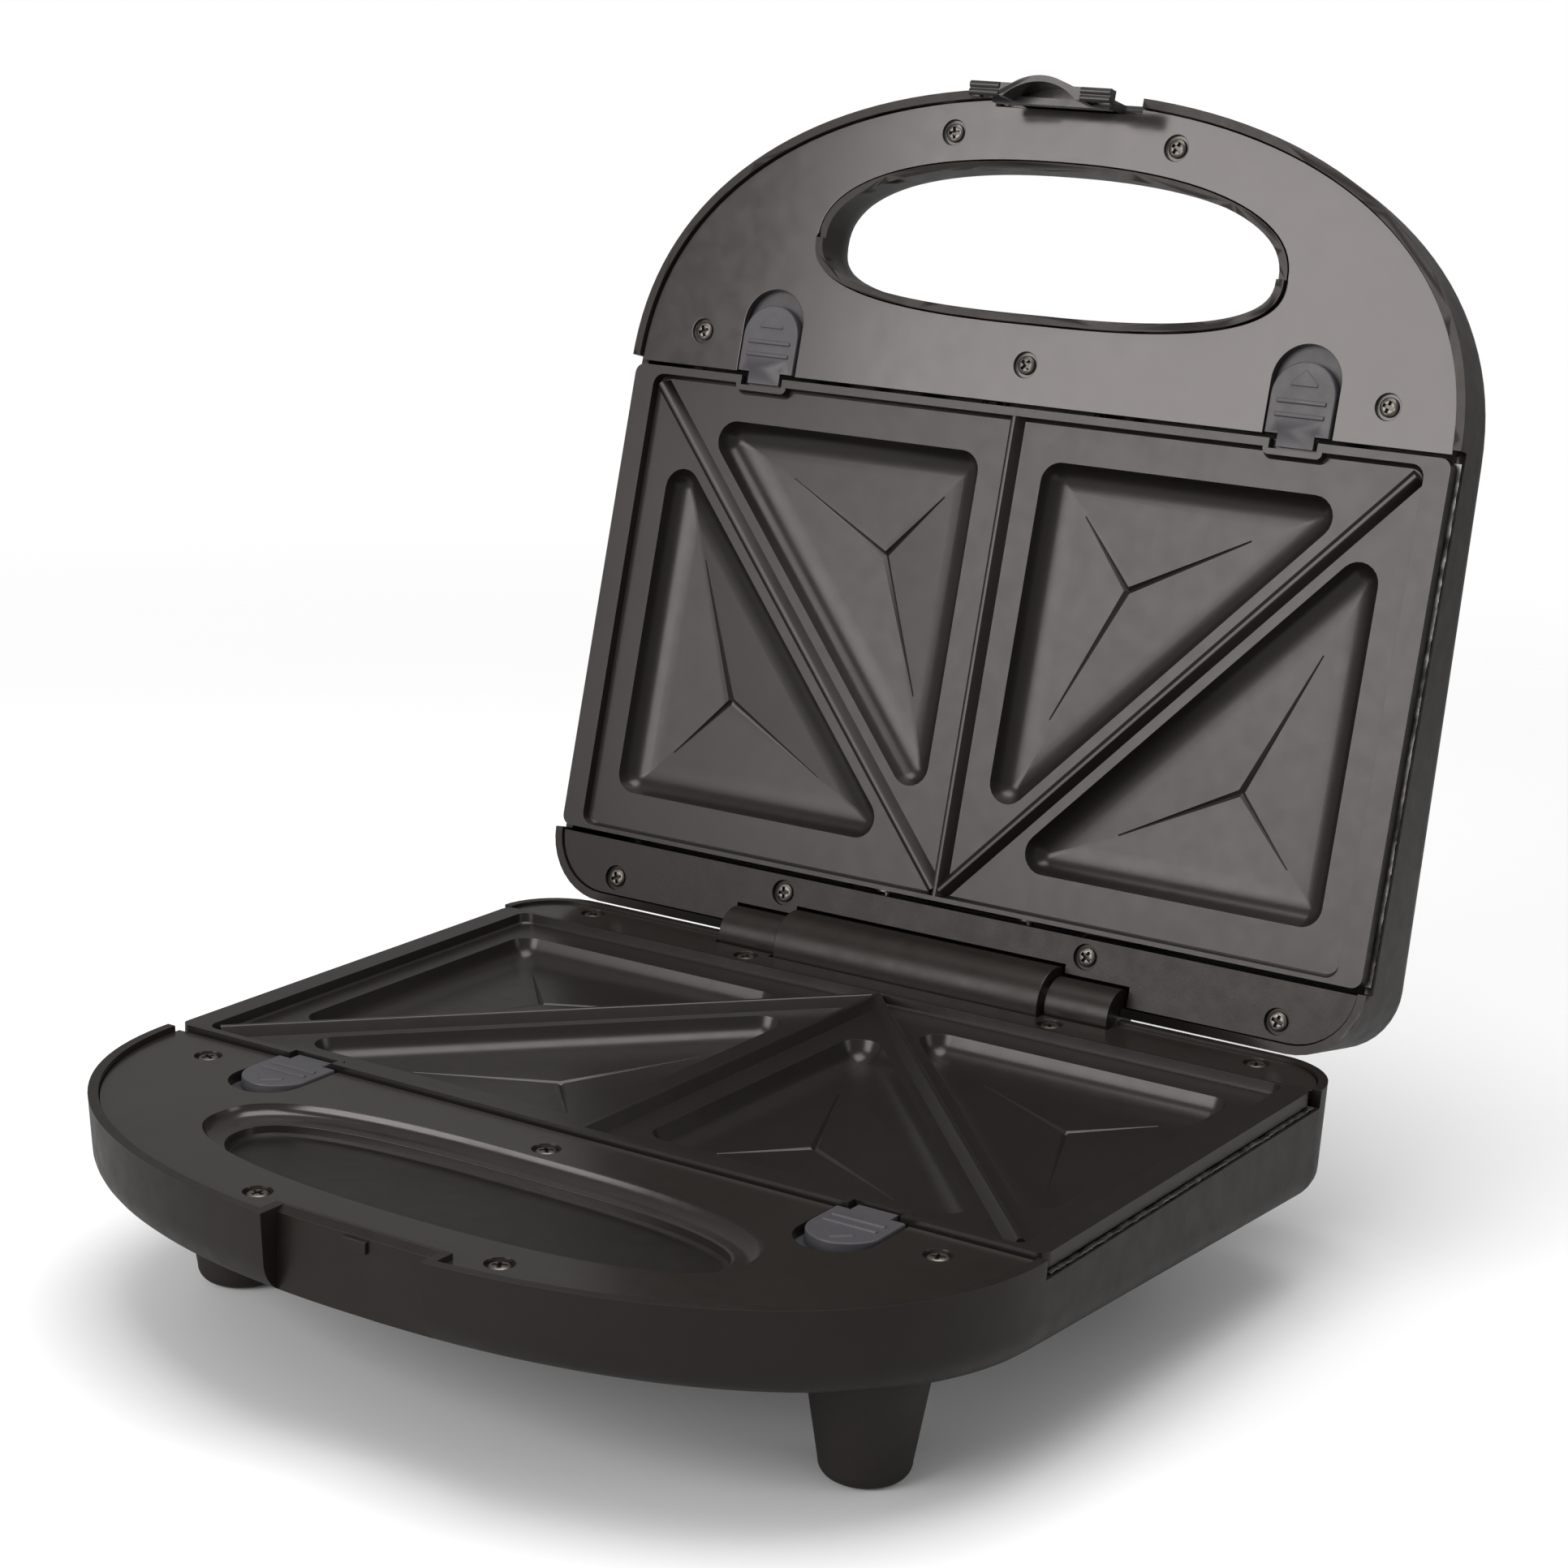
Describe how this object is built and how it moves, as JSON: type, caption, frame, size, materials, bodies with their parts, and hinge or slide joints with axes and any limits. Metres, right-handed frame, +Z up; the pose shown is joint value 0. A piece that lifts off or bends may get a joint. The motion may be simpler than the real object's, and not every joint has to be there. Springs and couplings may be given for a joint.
{
  "type": "sandwich toaster",
  "caption": "Countertop sandwich toaster: hinged lid with an oval handle hole and a front latch, over a base on feet, each with a lift-out plate of ridges and triangular pockets",
  "frame": {"origin": "middle of the object's box as it stands open, on the worktop under its feet", "axes": "+Z up, -Y towards the user and the latch, +X to the user's right, along the hinge"},
  "size_m": [0.2256, 0.2791, 0.2592],
  "materials": {
    "shell_plastic": "satin black moulded plastic",
    "lower_panel_plastic": "glossy dark grey moulded plastic",
    "upper_panel_plastic": "glossy dark grey moulded plastic",
    "plate_coating": "cast aluminium with a satin dark non-stick coating",
    "reflector_metal": "thin crinkled aluminised sheet",
    "element_steel": "heat-darkened sheathed tube",
    "steel": "plated steel",
    "screw_steel": "zinc-plated steel",
    "button_plastic": "satin blue-grey plastic",
    "rubber": "moulded rubber",
    "terminal_plastic": "ivory heat-resistant plastic",
    "thermostat_resin": "brown moulded resin",
    "fuse_metal": "plain metal case",
    "wire_sleeve": "heat-resistant lead insulation",
    "lens_red": "clear red plastic",
    "lens_green": "clear green plastic",
    "lamp_glass": "clear glass"
  },
  "bodies": {
    "base": {"lower_housing": "shell_plastic", "lower_front_panel": "lower_panel_plastic", "lower_rear_panel": "lower_panel_plastic", "lower_reflector": "reflector_metal", "lower_heating_element": "element_steel", "lower_element_clips": "steel", "thermostat": "thermostat_resin", "thermal_fuse": "fuse_metal", "terminal_block": "terminal_plastic", "lower_wiring": "wire_sleeve", "cord_gland": "rubber", "foot_front_left": "shell_plastic", "foot_front_right": "shell_plastic", "foot_rear_left": "shell_plastic", "foot_rear_right": "shell_plastic", "lower_panel_screws": "screw_steel", "lower_cooking_plate": "plate_coating", "lower_left_spring": "steel", "lower_right_spring": "steel"},
    "lid": {"upper_housing": "shell_plastic", "upper_front_panel": "upper_panel_plastic", "upper_rear_panel": "upper_panel_plastic", "upper_reflector": "reflector_metal", "upper_heating_element": "element_steel", "upper_element_clips": "steel", "upper_panel_screws": "screw_steel", "upper_cooking_plate": "plate_coating", "upper_wiring": "wire_sleeve", "upper_left_spring": "steel", "upper_right_spring": "steel", "latch_pin": "steel", "hinge_pin": "steel", "hinge_bush": "steel", "power_lamp_lens": "lens_red", "ready_lamp_lens": "lens_green", "power_lamp": "lamp_glass", "ready_lamp": "lamp_glass"},
    "latch": {"latch": "upper_panel_plastic"},
    "lower_left_button": {"lower_left_button": "button_plastic"},
    "lower_right_button": {"lower_right_button": "button_plastic"},
    "upper_left_button": {"upper_left_button": "button_plastic"},
    "upper_right_button": {"upper_right_button": "button_plastic"}
  },
  "joints": [
    {"name": "lid_hinge", "type": "hinge", "parent": "base", "child": "lid", "pos_m": [0, 0.07296, 0.049], "axis": [-1, 0, 0], "range_deg": [-104, 0]},
    {"name": "latch_hinge", "type": "hinge", "parent": "lid", "child": "latch", "pos_m": [0, 0.13136, 0.25015], "axis": [-1, 0, 0], "range_deg": [0, 30]},
    {"name": "lower_left_button_slide", "type": "slide", "parent": "base", "child": "lower_left_button", "axis": [0, -1, 0], "range_m": [0, 0.0036], "stiffness_N_per_m": 300, "springref_m": -0.003, "deforming": ["lower_left_spring"]},
    {"name": "lower_right_button_slide", "type": "slide", "parent": "base", "child": "lower_right_button", "axis": [0, -1, 0], "range_m": [0, 0.0036], "stiffness_N_per_m": 300, "springref_m": -0.003, "deforming": ["lower_right_spring"]},
    {"name": "upper_left_button_slide", "type": "slide", "parent": "lid", "child": "upper_left_button", "axis": [0, 0.2419, 0.9703], "range_m": [0, 0.0036], "stiffness_N_per_m": 300, "springref_m": -0.003, "deforming": ["upper_left_spring"]},
    {"name": "upper_right_button_slide", "type": "slide", "parent": "lid", "child": "upper_right_button", "axis": [0, 0.2419, 0.9703], "range_m": [0, 0.0036], "stiffness_N_per_m": 300, "springref_m": -0.003, "deforming": ["upper_right_spring"]}
  ]
}
